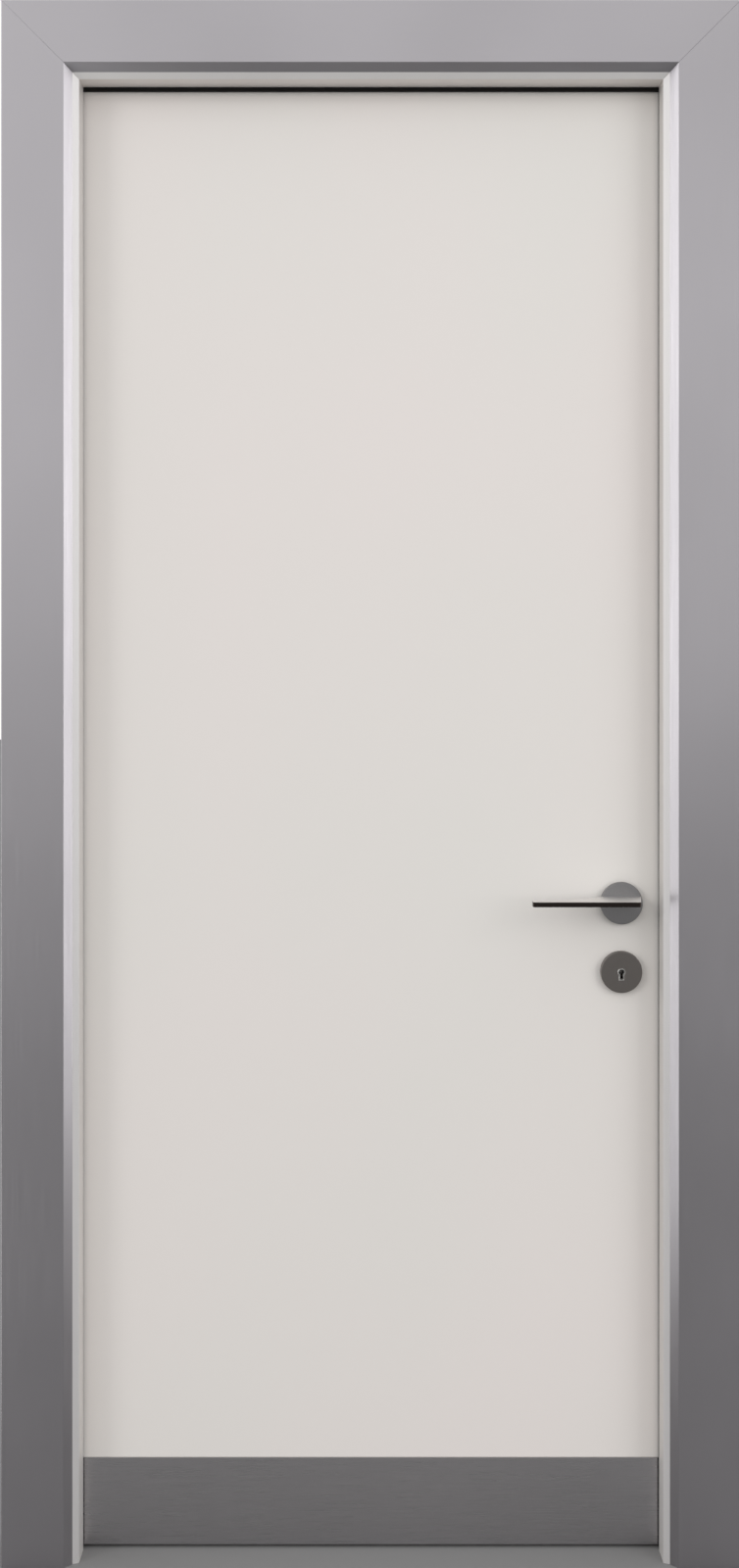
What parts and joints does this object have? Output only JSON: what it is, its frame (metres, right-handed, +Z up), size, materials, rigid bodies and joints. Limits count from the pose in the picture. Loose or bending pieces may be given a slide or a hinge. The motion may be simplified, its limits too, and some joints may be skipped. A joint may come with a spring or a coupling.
{
  "type": "hospital door",
  "caption": "Plain single-leaf hospital door in a deep mitred metal frame, with kick plates, hinges, a lever handle and a mortise lock.",
  "frame": {"origin": "floor level on the hinge jamb's outer, wall-contact face, midway through the wall", "axes": "+Z up, +X from the hinges to the latch, +Y through the wall the way the leaf opens"},
  "size_m": [1, 0.173, 2.12],
  "materials": {
    "anodised_aluminium": "satin anodised",
    "leaf_laminate": "matt laminate",
    "kick_steel": "fine brushed",
    "handle_steel": "satin",
    "hinge_steel": "satin",
    "lock_steel": "plain",
    "gasket_rubber": "matt black",
    "edge_band": "matt",
    "core_board": "pressed board"
  },
  "bodies": {
    "frame": {"hinge_jamb": "anodised_aluminium", "latch_jamb": "anodised_aluminium", "head_lining": "anodised_aluminium", "front_casing_left": "anodised_aluminium", "front_casing_right": "anodised_aluminium", "front_casing_head": "anodised_aluminium", "back_casing_left": "anodised_aluminium", "back_casing_right": "anodised_aluminium", "back_casing_head": "anodised_aluminium", "gasket_left": "gasket_rubber", "gasket_right": "gasket_rubber", "gasket_head": "gasket_rubber", "strike_plate": "lock_steel", "top_hinge_frame_flap": "hinge_steel", "top_hinge_pin": "hinge_steel", "middle_hinge_frame_flap": "hinge_steel", "middle_hinge_pin": "hinge_steel", "bottom_hinge_frame_flap": "hinge_steel", "bottom_hinge_pin": "hinge_steel"},
    "leaf": {"leaf_core": "core_board", "front_skin": "leaf_laminate", "back_skin": "leaf_laminate", "front_kick_plate": "kick_steel", "back_kick_plate": "kick_steel", "hinge_lipping": "edge_band", "latch_lipping": "edge_band", "top_lipping": "edge_band", "bottom_lipping": "edge_band", "top_hinge_leaf_flap": "hinge_steel", "middle_hinge_leaf_flap": "hinge_steel", "bottom_hinge_leaf_flap": "hinge_steel", "lock_case": "lock_steel", "lock_faceplate": "lock_steel", "latch_bolt": "lock_steel", "dead_bolt": "lock_steel", "front_rose": "handle_steel", "back_rose": "handle_steel", "front_escutcheon": "handle_steel", "back_escutcheon": "handle_steel"},
    "lever_set": {"front_lever": "handle_steel", "back_lever": "handle_steel", "spindle": "lock_steel"}
  },
  "joints": [
    {"name": "leaf_swing", "type": "hinge", "parent": "frame", "child": "leaf", "pos_m": [0.02825, 0.058, 1], "axis": [0, 0, 1], "range_deg": [0, 110]},
    {"name": "lever_turn", "type": "hinge", "parent": "leaf", "child": "lever_set", "pos_m": [0.785, 0.0275, 0.892], "axis": [0, -1, 0], "range_deg": [0, 45], "stiffness_Nm_per_rad": 1.5, "springref_deg": -28.65}
  ]
}
